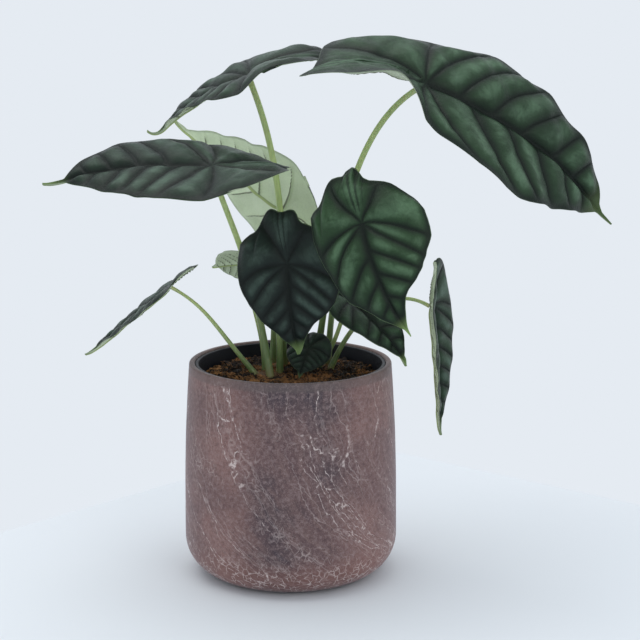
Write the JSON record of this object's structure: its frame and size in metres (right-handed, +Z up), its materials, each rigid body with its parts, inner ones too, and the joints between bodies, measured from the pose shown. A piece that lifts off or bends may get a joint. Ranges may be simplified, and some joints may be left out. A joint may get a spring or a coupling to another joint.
{
  "type": "potted alocasia",
  "caption": "House plant with quilted, shield-shaped leaves on arching stalks, rooted in soil in a plastic liner that stands inside a round frosted planter.",
  "frame": {"origin": "centre of the planter's flat foot, on the surface it stands on", "axes": "+Z up along the planter's axis; -Y is the side the plant is best seen from; +X is to the right when seen from there"},
  "size_m": [0.3598, 0.1785, 0.354],
  "materials": {
    "pot_glaze": "matte",
    "liner_plastic": "satin",
    "soil": "matte",
    "corm_skin": "matte",
    "leaf_blade": "satin",
    "leaf_stalk": "satin"
  },
  "bodies": {
    "root": {"outer_pot": "pot_glaze", "nursery_pot": "liner_plastic", "potting_soil": "soil", "corm_left": "corm_skin", "corm_back": "corm_skin", "corm_right": "corm_skin", "leaf_upper_left": "leaf_blade", "leaf_upper_right": "leaf_blade", "leaf_left": "leaf_blade", "leaf_back": "leaf_blade", "leaf_front_centre": "leaf_blade", "leaf_front_right": "leaf_blade", "leaf_low_right": "leaf_blade", "leaf_low_left": "leaf_blade", "leaf_far_right": "leaf_blade", "leaf_inner_left": "leaf_blade", "leaf_young": "leaf_blade", "stalk_upper_left": "leaf_stalk", "stalk_upper_right": "leaf_stalk", "stalk_left": "leaf_stalk", "stalk_back": "leaf_stalk", "stalk_front_centre": "leaf_stalk", "stalk_front_right": "leaf_stalk", "stalk_low_right": "leaf_stalk", "stalk_low_left": "leaf_stalk", "stalk_far_right": "leaf_stalk", "stalk_inner_left": "leaf_stalk", "stalk_young": "leaf_stalk"}
  },
  "joints": []
}
